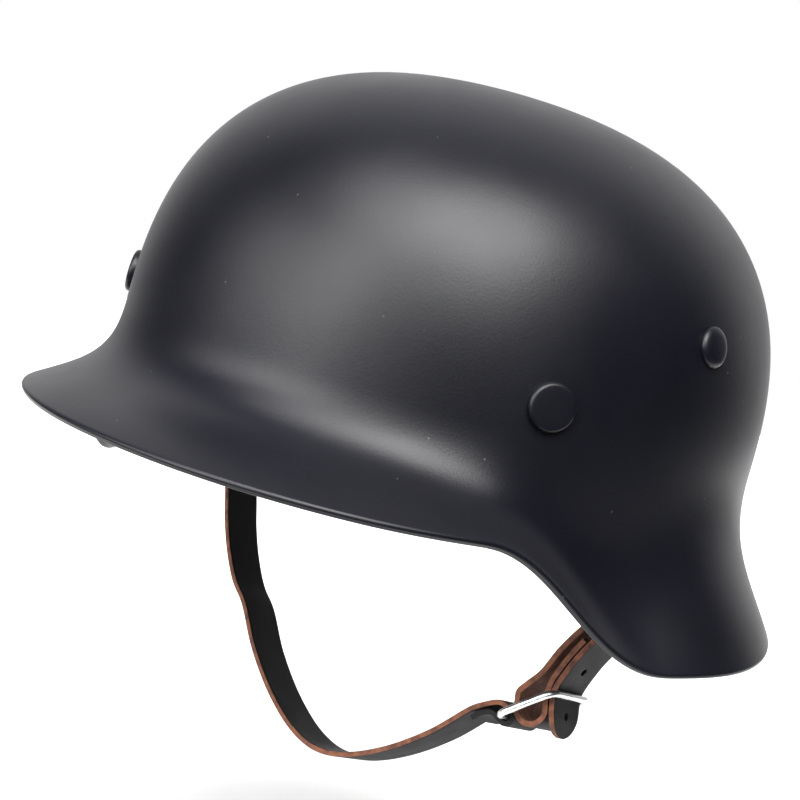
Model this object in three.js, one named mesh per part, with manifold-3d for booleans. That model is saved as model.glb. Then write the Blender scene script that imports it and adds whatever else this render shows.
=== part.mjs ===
// Steel combat helmet: a pressed shell with a rolled rim, four rivets, and a leather chin strap
// that is fastened in a wire buckle on the wearer's left. Millimetres, +Z up, brow towards -Y,
// wearer's left towards +X. Heights are taken from the lowest level of the neck guard, and at the
// end everything is moved so that the origin is where the crown of the head meets the shell.

import * as THREE from 'three';
import { mergeVertices } from 'three/addons/utils/BufferGeometryUtils.js';
import Module from 'manifold-3d';

const wasm = await Module();
wasm.setup();

// Dome of the shell
const browReach = 107.5;
const napeReach = 115.5;
const domeHalfWidth = 105.8;
const domeRise = 99;
const domeCentreY = -3.2;
const waistHeight = 61.9;
const domeLean = 6;
const planPower = 2.02;
const crownPower = 2.53;
const sheet = 1.2;

// Rim: visor, flared sides and neck guard
const visorReach = 149;
const neckReach = 129.5;
const flareHalfWidth = 128.3;
const visorHeight = 46;
const templeHeight = 38;
const neckSideHeight = 6.4;
const neckRearHeight = 2.1;
const stepStart = 43.6;
const stepEnd = 76.1;
const browPull = 0.45;
const neckPull = 0.41;
const hemThickness = 2.6;
const hemWidth = 6;

// Reach is a share of the oval through the visor, the flares and the neck guard; slope is how far
// the sheet dips below the horizontal where it ends, in degrees.
const rimSectionStep = 30;
const rimSections = [
  { angle: 0, reach: 1, slope: 21.5 },
  { angle: 30, reach: 0.982, slope: 23.1 },
  { angle: 60, reach: 0.907, slope: 37.4 },
  { angle: 90, reach: 1, slope: 62.5 },
  { angle: 120, reach: 0.972, slope: 58.7 },
  { angle: 150, reach: 0.974, slope: 58.8 },
  { angle: 180, reach: 1, slope: 62.4 },
];

// Rivets: angle round the shell from the brow, and climb above the waist as a share of domeRise
const rivetHeadRise = 2.2;
const rivetShank = 5;
const rivetClench = 11;
const rivetClenchDepth = 1.2;
const rivetHoleGap = 0.3;
const drillSides = 12;
const drillLength = 10;
const seatGap = 0.45;
const rivetPlaces = [
  { name: 'rivet_front', angle: 51.6, climb: 0.1616, head: 14.2, edgeWidth: 1.2, edgeDrop: 1.2 },
  { name: 'rivet_side', angle: 81.3, climb: 0.3919, head: 12.4, edgeWidth: 4, edgeDrop: 1.8 },
];

// Strap, hung in a plane that leans forward on its way down to the chin
const strapWidth = 18;
const leather = 1.8;
const layerGap = 0.5;
const foldPlay = 0.6;
const strapLean = 15;
const strapSpan = 98;
const strapDrop = 70.5;
const tailHole = 2.6;
const tailHoles = 2;
const tailHolePitch = 16;
const firstHoleFromTip = 7;
const punchSides = 10;
const punchLength = 2.4;
const tipNarrowShare = 0.35;

// Routes of the middle of the leather: across is a share of strapSpan, rise of strapDrop.
const tailRoute = [
  { across: 0.944, rise: 0.213 },
  { across: 0.881, rise: 0.057 },
  { across: 0.837, rise: -0.05 },
  { across: 0.807, rise: -0.149 },
  { across: 0.782, rise: -0.285 },
  { across: 0.79, rise: -0.335 },
  { across: 0.805, rise: -0.405 },
  { across: 0.815, rise: -0.48 },
];
const cheekRoute = [
  { across: 0.898, rise: 0.227 },
  { across: 0.811, rise: 0.051 },
  { across: 0.753, rise: -0.099 },
  { across: 0.717, rise: -0.233 },
  { across: 0.681, rise: -0.308 },
  { across: 0.663, rise: -0.352 },
];
const sewnRoute = [
  { across: 0.533, rise: -0.55 },
  { across: 0.557, rise: -0.513 },
  { across: 0.597, rise: -0.487 },
];
const pullRoute = [
  { across: 0.617, rise: -0.43 },
  { across: 0.546, rise: -0.483 },
];
const jawRoute = [
  { across: 0.52, rise: -0.512 },
  { across: 0.403, rise: -0.694 },
  { across: 0.256, rise: -0.862 },
  { across: 0.113, rise: -0.969 },
  { across: 0, rise: -1 },
];
const farCheekRoute = [
  { across: 0.595, rise: -0.43 },
  { across: 0.672, rise: -0.3 },
  { across: 0.735, rise: -0.16 },
  { across: 0.785, rise: -0.02 },
  { across: 0.842, rise: 0.12 },
  { across: 0.905, rise: 0.27 },
];

// Hairpin behind the tail, wire buckle and wire bails
const hairpinRadius = 5.3;
const hairpinTopShare = 0.5;
const hairpinFootShare = 0.902;
const hairpinStepShare = 0.06;
const buckleShare = 0.813;
const buckleLength = 20.4;
const buckleDip = 40.8;
const buckleWire = 2.3;
const buckleSideGap = 2.7;
const buckleForward = 1.5;
const buckleBarGap = 0.35;
const loopTurn = 70;
const buckleCorner = 2.4;
const farSewnLength = 7;
const farSewnShares = [0, 1];
const bailRise = 32;
const bailTurn = 7.2;
const bailWire = 2.4;
const bailSideGap = 1.2;
const bailCorner = 2.4;
const bailPlate = 1.2;
const bailPlateWidth = 32;
const bailTopShare = 0.04;
const bailFootShare = 0.28;
const bailWeld = 0.4;

// Fineness of the faceted forms
const aroundSteps = 70;
const domeSteps = 15;
const domeCrowding = 1.4;
const skirtSteps = 10;
const tipSteps = 3;
const rivetSides = 16;
const wireSides = 8;
const cornerSteps = 3;
const foldSteps = 4;
const routeSubsteps = 3;
const plateRows = 5;
const tailLineSteps = 72;

const degrees = Math.PI / 180;

function smoothStep(value) {
  const t = Math.min(Math.max(value, 0), 1);
  return t * t * (3 - 2 * t);
}

// Angle from the brow, the same on both sides of the helmet
function foldedAngle(angle) {
  const turned = ((angle % 360) + 360) % 360;
  return turned > 180 ? 360 - turned : turned;
}

// Smooth value of a rim column at any angle
function rimValue(column, angle) {
  const last = rimSections.length - 1;
  const place = foldedAngle(angle) / rimSectionStep;
  const i = Math.min(Math.floor(place), last - 1);
  const t = place - i;
  const pick = (k) => rimSections[k < 0 ? -k : k > last ? 2 * last - k : k][column];
  const [a, b, c, d] = [pick(i - 1), pick(i), pick(i + 1), pick(i + 2)];
  const rise = (c - a) / 2;
  const next = (d - b) / 2;
  return b + rise * t + (3 * (c - b) - 2 * rise - next) * t * t + (2 * (b - c) + rise + next) * t ** 3;
}

function ovalRadius(angle, front, rear, side, power) {
  const along = Math.abs(Math.cos(angle * degrees)) / (Math.cos(angle * degrees) > 0 ? front : rear);
  const acrossShare = Math.abs(Math.sin(angle * degrees)) / side;
  return 1 / (along ** power + acrossShare ** power) ** (1 / power);
}

function outward(angle) {
  return new THREE.Vector3(Math.sin(angle * degrees), -Math.cos(angle * degrees), 0);
}

// Point on the dome: level 0 is its widest line, 1 its top
function domePoint(angle, level) {
  const share = 2 / crownPower;
  const turn = level * 90 * degrees;
  const radius = ovalRadius(angle, browReach, napeReach, domeHalfWidth, planPower);
  const spread = level >= 1 ? 0 : radius * Math.cos(turn) ** share;
  const point = outward(angle).multiplyScalar(spread);
  point.z = domeRise * Math.sin(turn) ** share;
  point.applyAxisAngle(new THREE.Vector3(1, 0, 0), -domeLean * degrees);
  return point.add(new THREE.Vector3(0, domeCentreY, waistHeight));
}

function rimHeight(angle) {
  const folded = foldedAngle(angle);
  const side = visorHeight + (templeHeight - visorHeight) * smoothStep(folded / 90);
  const neck = neckSideHeight + (neckRearHeight - neckSideHeight) * smoothStep((folded - 110) / 70);
  const step = smoothStep((folded - stepStart) / (stepEnd - stepStart));
  return side + (neck - side) * step;
}

// The four control points of the flare, from the waist to where the rolled hem starts
function flare(angle) {
  const start = domePoint(angle, 0);
  const slope = rimValue('slope', angle) * degrees;
  const lead = outward(angle).multiplyScalar(Math.cos(slope));
  lead.z = -Math.sin(slope);
  const reach = rimValue('reach', angle) * ovalRadius(angle, visorReach, neckReach, flareHalfWidth, 2);
  const end = outward(angle).multiplyScalar(reach);
  end.z = rimHeight(angle);
  const length = end.distanceTo(start);
  const pull = browPull + (neckPull - browPull) * smoothStep((foldedAngle(angle) - 60) / 60);
  const down = new THREE.Vector3(0, -Math.sin(domeLean * degrees), -Math.cos(domeLean * degrees));
  const last = end.clone().addScaledVector(lead, -hemThickness / 2);
  const control = start.clone().addScaledVector(down, length * pull);
  const approach = end.clone().addScaledVector(lead, -length * pull);
  return { curve: new THREE.CubicBezierCurve3(start, control, approach, last), lead, length, pull };
}

// Point on the outer face: level 1 is the top, 0 the waist, -1 the start of the hem
function wallPoint(angle, level) {
  return level >= 0 ? domePoint(angle, level) : flare(angle).curve.getPoint(-level);
}

function wallNormal(angle, level) {
  if (level > 0.999) {
    return new THREE.Vector3(0, Math.sin(domeLean * degrees), Math.cos(domeLean * degrees));
  }
  const reach = 0.02;
  const high = wallPoint(angle, Math.min(level + reach, 1));
  const low = wallPoint(angle, Math.max(level - reach, -1));
  const ahead = wallPoint(angle + 1, level);
  const behind = wallPoint(angle - 1, level);
  return high.sub(low).cross(behind.sub(ahead)).normalize();
}

// Point below the outer face, so many millimetres into the wall or past it
function below(angle, level, depth) {
  return wallPoint(angle, level).addScaledVector(wallNormal(angle, level), -depth);
}

function levelAtHeight(angle, height) {
  let low = 0;
  let high = 1;
  for (let turn = 0; turn < 40; turn += 1) {
    const middle = (low + high) / 2;
    if (wallPoint(angle, middle).z < height) low = middle;
    else high = middle;
  }
  return low;
}

// Turns every face round if the mesh is inside out
function turnedOut(geometry) {
  const place = geometry.attributes.position;
  const index = geometry.index.array;
  const corner = (k) => new THREE.Vector3().fromBufferAttribute(place, index[k]);
  let volume = 0;
  for (let k = 0; k < index.length; k += 3) volume += corner(k).dot(corner(k + 1).cross(corner(k + 2)));
  if (volume < 0) {
    for (let k = 0; k < index.length; k += 3) [index[k], index[k + 1]] = [index[k + 1], index[k]];
  }
  return geometry;
}

// Closed mesh from rings of points: ends are poles (one point), flat caps or joined to each other
function ringSolid(rings, joined = false) {
  const positions = [];
  const starts = rings.map((ring) => {
    const start = positions.length / 3;
    ring.forEach((point) => positions.push(point.x, point.y, point.z));
    return start;
  });
  const faces = [];
  const count = joined ? rings.length : rings.length - 1;
  for (let i = 0; i < count; i += 1) {
    const j = (i + 1) % rings.length;
    const around = Math.max(rings[i].length, rings[j].length);
    for (let k = 0; k < around; k += 1) {
      const next = (k + 1) % around;
      const at = (ring, spot) => starts[ring] + (rings[ring].length === 1 ? 0 : spot);
      if (rings[i].length > 1) faces.push(at(i, k), at(i, next), at(j, k));
      if (rings[j].length > 1) faces.push(at(i, next), at(j, next), at(j, k));
    }
  }
  const cap = (ring, near, far) => {
    const first = starts[ring];
    for (let k = 1; k < rings[ring].length - 1; k += 1) faces.push(first, first + k + near, first + k + far);
  };
  if (!joined) {
    cap(0, 1, 0);
    cap(rings.length - 1, 0, 1);
  }
  const geometry = new THREE.BufferGeometry();
  geometry.setAttribute('position', new THREE.Float32BufferAttribute(positions, 3));
  geometry.setIndex(faces);
  return turnedOut(geometry);
}

// Closed mesh between two grids of points of the same size
function slabSolid(front, rear) {
  const last = front.length - 1;
  const at = (face, row, column) => (face * (last + 1) + row) * (last + 1) + column;
  const quad = (a, b, c, d) => [a, b, c, a, c, d];
  const faces = [];
  for (let i = 0; i < last; i += 1) {
    for (let j = 0; j < last; j += 1) {
      faces.push(...quad(at(0, i, j), at(0, i + 1, j), at(0, i + 1, j + 1), at(0, i, j + 1)));
      faces.push(...quad(at(1, i, j), at(1, i, j + 1), at(1, i + 1, j + 1), at(1, i + 1, j)));
    }
    faces.push(...quad(at(0, i, 0), at(1, i, 0), at(1, i + 1, 0), at(0, i + 1, 0)));
    faces.push(...quad(at(0, i, last), at(0, i + 1, last), at(1, i + 1, last), at(1, i, last)));
    faces.push(...quad(at(0, 0, i), at(0, 0, i + 1), at(1, 0, i + 1), at(1, 0, i)));
    faces.push(...quad(at(0, last, i), at(1, last, i), at(1, last, i + 1), at(0, last, i + 1)));
  }
  const geometry = new THREE.BufferGeometry();
  const positions = [front, rear].flat(2).flatMap((point) => point.toArray());
  geometry.setAttribute('position', new THREE.Float32BufferAttribute(positions, 3));
  geometry.setIndex(faces);
  return turnedOut(geometry);
}

function toManifold(geometry) {
  const bare = geometry.clone();
  bare.deleteAttribute('normal');
  bare.deleteAttribute('uv');
  const merged = mergeVertices(bare, 1e-4);
  return new wasm.Manifold(new wasm.Mesh({
    numProp: 3,
    vertProperties: new Float32Array(merged.attributes.position.array),
    triVerts: new Uint32Array(merged.index.array),
  }));
}

function fromManifold(solid) {
  const mesh = solid.getMesh();
  const geometry = new THREE.BufferGeometry();
  geometry.setAttribute('position', new THREE.Float32BufferAttribute(mesh.vertProperties, 3));
  geometry.setIndex([...mesh.triVerts]);
  geometry.computeVertexNormals();
  return geometry;
}

// Turns a shape made along +Y so that it points along a direction, and moves it to a place
function aimed(geometry, place, direction) {
  const turn = new THREE.Quaternion().setFromUnitVectors(new THREE.Vector3(0, 1, 0), direction);
  return geometry.applyQuaternion(turn).translate(place.x, place.y, place.z);
}

// The pressed shell: outer face, rounded tip, folded hem and inner face in one skin
function shellGeometry() {
  const angles = Array.from({ length: aroundSteps }, (_, k) => (360 * k) / aroundSteps);
  const ring = (level, depth) => angles.map((angle) => below(angle, level, depth));
  const hemTop = (angle) => {
    const { length, pull } = flare(angle);
    return -1 + hemWidth / (3 * pull * length);
  };
  const hemRing = (depth, share) => angles.map((angle) => (
    below(angle, hemTop(angle) * (1 - share) - share, depth)));
  const tipRing = (turn) => angles.map((angle) => {
    const { lead } = flare(angle);
    const normal = wallNormal(angle, -1);
    const middle = below(angle, -1, hemThickness / 2);
    middle.addScaledVector(normal, Math.cos(turn) * hemThickness / 2);
    return middle.addScaledVector(lead, Math.sin(turn) * hemThickness / 2);
  });
  const levels = [];
  for (let i = 1; i <= domeSteps; i += 1) levels.push((1 - i / domeSteps) ** domeCrowding);
  const rings = [[wallPoint(0, 1)]];
  levels.forEach((level) => rings.push(ring(level, 0)));
  for (let i = 1; i <= skirtSteps; i += 1) rings.push(ring(-i / skirtSteps, 0));
  for (let i = 1; i <= tipSteps; i += 1) rings.push(tipRing((Math.PI * i) / tipSteps));
  rings.push(hemRing(hemThickness, 0.5));
  rings.push(hemRing(hemThickness, 0));
  rings.push(hemRing(sheet, 0));
  const lowest = Math.max(...angles.map(hemTop));
  for (let i = skirtSteps - 1; i >= 1; i -= 1) {
    if (-i / skirtSteps > lowest + 0.02) rings.push(ring(-i / skirtSteps, sheet));
  }
  levels.reverse().forEach((level) => rings.push(ring(level, sheet)));
  rings.push([below(0, 1, sheet)]);
  let solid = toManifold(ringSolid(rings));
  rivetSpots().forEach(({ place, normal }) => {
    const bore = rivetShank / 2 + rivetHoleGap;
    const drill = new THREE.CylinderGeometry(bore, bore, drillLength, drillSides);
    solid = solid.subtract(toManifold(aimed(drill, place, normal)));
  });
  return fromManifold(solid);
}

function rivetSpots() {
  const sides = [{ suffix: 'left', sign: 1 }, { suffix: 'right', sign: -1 }];
  return rivetPlaces.flatMap(({ name, angle, climb, ...form }) => sides.map(({ suffix, sign }) => {
    const level = levelAtHeight(angle, waistHeight + climb * domeRise);
    return {
      name: `${name}_${suffix}`,
      place: wallPoint(sign * angle, level),
      normal: wallNormal(sign * angle, level),
      ...form,
    };
  }));
}

// Head with a rounded edge outside, shank through the wall, clenched disc inside
function rivetGeometry({ place, normal, head, edgeWidth, edgeDrop }) {
  const shank = rivetShank / 2;
  const headSag = (head / 2) ** 2 / (2 * domeHalfWidth);
  const clenchSag = (rivetClench / 2) ** 2 / (2 * domeHalfWidth);
  const inner = -sheet - seatGap - clenchSag;
  const profile = [
    new THREE.Vector2(0, inner - rivetClenchDepth),
    new THREE.Vector2(rivetClench / 2 - rivetClenchDepth / 2, inner - rivetClenchDepth),
    new THREE.Vector2(rivetClench / 2, inner - rivetClenchDepth / 2),
    new THREE.Vector2(rivetClench / 2, inner),
    new THREE.Vector2(shank, inner),
    new THREE.Vector2(shank, seatGap),
    new THREE.Vector2(head / 2, seatGap - headSag / 2),
  ];
  for (let i = 0; i <= cornerSteps; i += 1) {
    const turn = (Math.PI / 2) * (i / cornerSteps);
    const radius = head / 2 - edgeWidth * (1 - Math.cos(turn));
    profile.push(new THREE.Vector2(radius, rivetHeadRise - edgeDrop * (1 - Math.sin(turn))));
  }
  profile.push(new THREE.Vector2(0, rivetHeadRise));
  return aimed(new THREE.LatheGeometry(profile, rivetSides), place, normal);
}

// Strap plane: across, rise along the plane, and along the width of the strap
const strapUp = new THREE.Vector3(0, Math.sin(strapLean * degrees), Math.cos(strapLean * degrees));
const strapBack = new THREE.Vector3(0, Math.cos(strapLean * degrees), -Math.sin(strapLean * degrees));

function inStrapPlane(across, rise, width = 0) {
  return new THREE.Vector3(across, 0, 0).addScaledVector(strapUp, rise).addScaledVector(strapBack, width);
}

function routePoints(rows, side = 1) {
  return rows.map(({ across, rise }) => new THREE.Vector2(side * across * strapSpan, rise * strapDrop));
}

function arcPoints(centre, radius, from, to, steps) {
  return Array.from({ length: steps + 1 }, (_, i) => {
    const turn = (from + ((to - from) * i) / steps) * degrees;
    return new THREE.Vector2(centre.x + radius * Math.cos(turn), centre.y + radius * Math.sin(turn));
  });
}

function smoothCurve(points) {
  return new THREE.CatmullRomCurve3(points.map((p) => new THREE.Vector3(p.x, p.y, 0)), false, 'centripetal');
}

// Smooth line through the points, finest where they are close together
function smoothPoints(points) {
  return smoothCurve(points).getPoints((points.length - 1) * routeSubsteps)
    .map((p) => new THREE.Vector2(p.x, p.y));
}

// Points beside a route, to its left as it runs
function beside(points, distance) {
  return points.map((point, i) => {
    const ahead = points[Math.min(i + 1, points.length - 1)];
    const behind = points[Math.max(i - 1, 0)];
    const along = ahead.clone().sub(behind).normalize();
    return new THREE.Vector2(point.x - along.y * distance, point.y + along.x * distance);
  });
}

// Place at a distance along a route, and the way it runs there
function placeAlong(points, distance) {
  let i = 0;
  let left = distance;
  while (i < points.length - 2 && left > points[i].distanceTo(points[i + 1])) {
    left -= points[i].distanceTo(points[i + 1]);
    i += 1;
  }
  const along = points[i + 1].clone().sub(points[i]).normalize();
  return { at: points[i].clone().addScaledVector(along, left), along };
}

// Leather band along a route in the strap plane, with a half width for each of its points
function bandGeometry(points, halfWidths) {
  const faces = [beside(points, leather / 2), beside(points, -leather / 2)];
  const rings = points.map((_, i) => {
    const half = halfWidths[i];
    const [left, right] = [faces[0][i], faces[1][i]];
    return [
      inStrapPlane(left.x, left.y, -half),
      inStrapPlane(left.x, left.y, half),
      inStrapPlane(right.x, right.y, half),
      inStrapPlane(right.x, right.y, -half),
    ];
  });
  return ringSolid(rings);
}

const bailRadius = (bailWire + leather) / 2 + foldPlay;
const bailBar = new THREE.Vector2(strapSpan, bailRise);
const tailTop = new THREE.Vector2(bailBar.x + bailRadius, bailBar.y);
const tailLine = smoothCurve([tailTop, ...routePoints(tailRoute)]).getSpacedPoints(tailLineSteps)
  .map((p) => new THREE.Vector2(p.x, p.y));

// Place on the tail's line, as a share of its length from the bail, moved inwards by a distance
function tailPlace(share, inwards = 0) {
  const i = Math.round(share * (tailLine.length - 1));
  const shifted = beside(tailLine.slice(Math.max(i - 1, 0), i + 2), -inwards);
  return shifted[Math.min(i, 1)];
}

// Left strap: from the tip up to the bail, over it, down the cheek, round and up behind the tail
function leftStrapGeometry() {
  const hairpin = [];
  const inwards = leather + layerGap;
  for (let share = hairpinFootShare; share > hairpinTopShare; share -= hairpinStepShare) {
    hairpin.push(tailPlace(share, inwards));
  }
  const tail = routePoints(tailRoute).reverse();
  const tipPoints = Array.from({ length: foldSteps }, (_, i) => (
    tail[0].clone().lerp(tail[1], 1 - Math.cos((Math.PI / 2) * (i / foldSteps)))));
  const foot = hairpin[0];
  const centre = new THREE.Vector2(foot.x - hairpinRadius, foot.y);
  const route = [
    ...tipPoints,
    ...tail.slice(1),
    ...arcPoints(bailBar, bailRadius, 0, 180, foldSteps),
    ...routePoints(cheekRoute),
    ...arcPoints(centre, hairpinRadius, 180, 360, foldSteps),
    ...hairpin.slice(1),
  ];
  const points = smoothPoints(route);
  const half = strapWidth / 2;
  let run = 0;
  const halves = points.map((point, i) => {
    if (i > 0) run += point.distanceTo(points[i - 1]);
    const left = Math.max(1 - run / half, 0);
    return half * Math.max(Math.sqrt(1 - left * left), tipNarrowShare);
  });
  let solid = toManifold(bandGeometry(points, halves));
  for (let i = 0; i < tailHoles; i += 1) {
    const { at, along } = placeAlong(points, firstHoleFromTip + i * tailHolePitch);
    const through = new THREE.Vector3(along.y, 0, 0).addScaledVector(strapUp, -along.x);
    const punch = new THREE.CylinderGeometry(tailHole / 2, tailHole / 2, punchLength, punchSides);
    solid = solid.subtract(toManifold(aimed(punch, inStrapPlane(at.x, at.y), through)));
  }
  return fromManifold(solid);
}

// Buckle in the strap plane: the outer bar lies on the tail, the other is held by the right strap
const outerBar = tailPlace(buckleShare, -(leather + buckleWire) / 2 - buckleBarGap);
const buckleLine = new THREE.Vector2(-Math.cos(buckleDip * degrees), -Math.sin(buckleDip * degrees));
const innerBar = outerBar.clone().addScaledVector(buckleLine, buckleLength);
const barRadius = (buckleWire + leather) / 2 + buckleBarGap;

// Right strap: sewn round the inner bar, along the jaw, under the chin and up to the right bail
function rightStrapGeometry() {
  const jaw = routePoints(jawRoute);
  const loop = arcPoints(innerBar, barRadius, loopTurn, loopTurn - 180, foldSteps);
  const bail = new THREE.Vector2(-bailBar.x, bailBar.y);
  const far = routePoints(farCheekRoute, -1);
  const end = far.slice(-1)[0];
  const climb = bail.clone().sub(end).normalize();
  const back = new THREE.Vector2(-climb.y, climb.x);
  const farSewn = farSewnShares.map((share) => end.clone().addScaledVector(climb, -farSewnLength * share)
    .addScaledVector(back, leather + layerGap));
  const route = [
    ...routePoints(sewnRoute),
    ...loop.reverse(),
    ...routePoints(pullRoute),
    ...jaw,
    ...routePoints(jawRoute, -1).reverse().slice(1),
    ...far,
    ...arcPoints(bail, bailRadius, 0, 180, foldSteps),
    ...farSewn,
  ];
  const points = smoothPoints(route);
  return bandGeometry(points, points.map(() => strapWidth / 2));
}

// Points along straight lines with rounded corners
function roundedLine(points, radius, closed) {
  const result = [];
  points.forEach((point, i) => {
    if (!closed && (i === 0 || i === points.length - 1)) {
      result.push(point);
      return;
    }
    const before = points[(i + points.length - 1) % points.length];
    const after = points[(i + 1) % points.length];
    const start = point.clone().addScaledVector(before.clone().sub(point).normalize(), radius);
    const end = point.clone().addScaledVector(after.clone().sub(point).normalize(), radius);
    result.push(...new THREE.QuadraticBezierCurve3(start, point, end).getPoints(cornerSteps));
  });
  return result;
}

// Round wire along points that lie in one plane
function wireGeometry(points, diameter, planeNormal, closed) {
  const count = points.length;
  const rings = points.map((point, i) => {
    const ahead = closed ? points[(i + 1) % count] : points[Math.min(i + 1, count - 1)];
    const behind = closed ? points[(i + count - 1) % count] : points[Math.max(i - 1, 0)];
    const along = ahead.clone().sub(behind).normalize();
    const side = along.clone().cross(planeNormal).normalize();
    return Array.from({ length: wireSides }, (_, k) => {
      const turn = (2 * Math.PI * k) / wireSides;
      return point.clone().addScaledVector(planeNormal, Math.cos(turn) * diameter / 2)
        .addScaledVector(side, Math.sin(turn) * diameter / 2);
    });
  });
  return ringSolid(rings, closed);
}

function buckleGeometry() {
  const half = strapWidth / 2 + buckleSideGap + buckleWire / 2;
  const corners = [
    inStrapPlane(innerBar.x, innerBar.y, -half - buckleForward),
    inStrapPlane(innerBar.x, innerBar.y, half - buckleForward),
    inStrapPlane(outerBar.x, outerBar.y, half - buckleForward),
    inStrapPlane(outerBar.x, outerBar.y, -half - buckleForward),
  ];
  const along = inStrapPlane(buckleLine.x, buckleLine.y);
  const normal = along.clone().cross(strapBack).normalize();
  return wireGeometry(roundedLine(corners, buckleCorner, true), buckleWire, normal, true);
}

// Bail: a plate on the inner face of the wall, with a wire loop that carries the strap
function bailGeometry(side) {
  const half = strapWidth / 2 + bailSideGap + bailWire / 2;
  const centre = side * (90 + bailTurn);
  const spread = Math.asin(bailPlateWidth / 2 / domeHalfWidth) / degrees;
  const plateDepths = [sheet + seatGap, sheet + seatGap + bailPlate];
  const shares = Array.from({ length: plateRows + 1 }, (_, k) => k / plateRows);
  const faces = plateDepths.map((depth) => shares.map((across) => shares.map((down) => below(
    centre + side * spread * (2 * across - 1),
    -bailTopShare + (bailTopShare - bailFootShare) * down,
    depth,
  ))));
  const weldDepth = plateDepths[1] + bailWire / 2 - bailWeld;
  const weldLevel = -(2 * bailTopShare + bailFootShare) / 3;
  const legSpread = Math.asin(half / domeHalfWidth) / degrees;
  const welds = [-1, 1].map((end) => below(centre + side * end * legSpread, weldLevel, weldDepth));
  const ends = [-half, half].map((width) => inStrapPlane(side * bailBar.x, bailBar.y, width));
  const line = [welds[0], ends[0], ends[1], welds[1]];
  const normal = welds[0].clone().add(welds[1]).sub(ends[0]).sub(ends[1]).cross(strapBack).normalize();
  const plate = toManifold(slabSolid(faces[0], faces[1]));
  const wire = toManifold(wireGeometry(roundedLine(line, bailCorner, false), bailWire, normal, false));
  return fromManifold(plate.add(wire));
}

const paintedSteel = new THREE.MeshStandardMaterial({ color: 0x1b1c20, roughness: 0.42, metalness: 0.2 });
const strapLeather = new THREE.MeshStandardMaterial({ color: 0x3a2a22, roughness: 0.7, metalness: 0 });
const buckleMetal = new THREE.MeshStandardMaterial({ color: 0xc9cac8, roughness: 0.3, metalness: 1 });
const bailSteel = new THREE.MeshStandardMaterial({ color: 0x3a3b3d, roughness: 0.55, metalness: 0.8 });

function named(name, geometry, material) {
  const mesh = new THREE.Mesh(geometry, material);
  mesh.name = name;
  return mesh;
}

const seat = below(0, 1, sheet);
const helmet = new THREE.Group();
helmet.position.copy(seat).negate();

const shellGroup = new THREE.Group();
shellGroup.add(named('shell', shellGeometry(), paintedSteel));
rivetSpots().forEach((spot) => shellGroup.add(named(spot.name, rivetGeometry(spot), paintedSteel)));
shellGroup.add(named('strap_bail_left', bailGeometry(1), bailSteel));
shellGroup.add(named('strap_bail_right', bailGeometry(-1), bailSteel));

const strapGroup = new THREE.Group();
strapGroup.add(named('chin_strap_left', leftStrapGeometry(), strapLeather));
strapGroup.add(named('chin_strap_right', rightStrapGeometry(), strapLeather));
strapGroup.add(named('buckle', buckleGeometry(), buckleMetal));

helmet.add(shellGroup, strapGroup);

const assembly = new THREE.Group();
assembly.add(helmet);
assembly.updateMatrixWorld(true);

export default assembly;
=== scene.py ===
import math

import bpy
from mathutils import Matrix, Vector
from mathutils.kdtree import KDTree


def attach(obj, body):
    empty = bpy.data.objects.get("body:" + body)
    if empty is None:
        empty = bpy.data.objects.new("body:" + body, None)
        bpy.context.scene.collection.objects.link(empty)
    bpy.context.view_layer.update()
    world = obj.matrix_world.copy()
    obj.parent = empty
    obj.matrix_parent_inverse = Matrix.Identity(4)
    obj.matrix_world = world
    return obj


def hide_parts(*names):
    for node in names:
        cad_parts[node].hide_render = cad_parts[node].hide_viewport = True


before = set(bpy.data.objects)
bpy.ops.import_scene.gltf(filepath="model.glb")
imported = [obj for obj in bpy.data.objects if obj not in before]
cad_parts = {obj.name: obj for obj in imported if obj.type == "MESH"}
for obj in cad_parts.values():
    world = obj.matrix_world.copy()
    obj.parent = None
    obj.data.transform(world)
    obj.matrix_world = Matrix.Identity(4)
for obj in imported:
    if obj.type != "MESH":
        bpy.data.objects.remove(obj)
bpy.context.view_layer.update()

mm = 0.001


# Working in Blender

def deselectAll():
    if bpy.context.mode != "OBJECT":
        bpy.ops.object.mode_set(mode="OBJECT")
    bpy.ops.object.select_all(action="DESELECT")


def pick(piece):
    deselectAll()
    piece.select_set(True)
    bpy.context.view_layer.objects.active = piece


def fresh(name):
    piece = bpy.context.object
    piece.name = name
    piece.data.name = name
    return piece


def addModifier(piece, kind, **values):
    modifier = piece.modifiers.new(kind.title(), kind)
    for key, value in values.items():
        setattr(modifier, key, value)
    pick(piece)
    bpy.ops.object.modifier_apply(modifier=modifier.name)


def smoothShade(piece, angle):
    pick(piece)
    bpy.ops.object.shade_smooth_by_angle(angle=math.radians(angle))


def outwardNormals(piece):
    pick(piece)
    bpy.ops.object.mode_set(mode="EDIT")
    bpy.ops.mesh.select_all(action="SELECT")
    bpy.ops.mesh.normals_make_consistent(inside=False)
    bpy.ops.object.mode_set(mode="OBJECT")


def settle(piece):
    pick(piece)
    bpy.ops.object.transform_apply(location=True, rotation=True, scale=True)


def handOver(piece, slotName, *nodes):
    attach(piece, "root")
    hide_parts(*nodes)


def smoothStep(value):
    t = min(max(value, 0.0), 1.0)
    return t * t * (3 - 2 * t)


# Node materials

def newMaterial(name):
    material = bpy.data.materials.new(name)
    material.use_nodes = True
    shader = material.node_tree.nodes["Principled BSDF"]
    return material, shader


def node(tree, kind, **values):
    made = tree.nodes.new(kind)
    for key, value in values.items():
        if key in made.inputs:
            made.inputs[key].default_value = value
        else:
            setattr(made, key, value)
    return made


def join(tree, source, output, target, entry):
    tree.links.new(source.outputs[output], target.inputs[entry])


def noise(tree, scale, detail):
    place = node(tree, "ShaderNodeTexCoord")
    made = node(tree, "ShaderNodeTexNoise", Scale=scale, Detail=detail)
    join(tree, place, "Object", made, "Vector")
    return made


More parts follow.
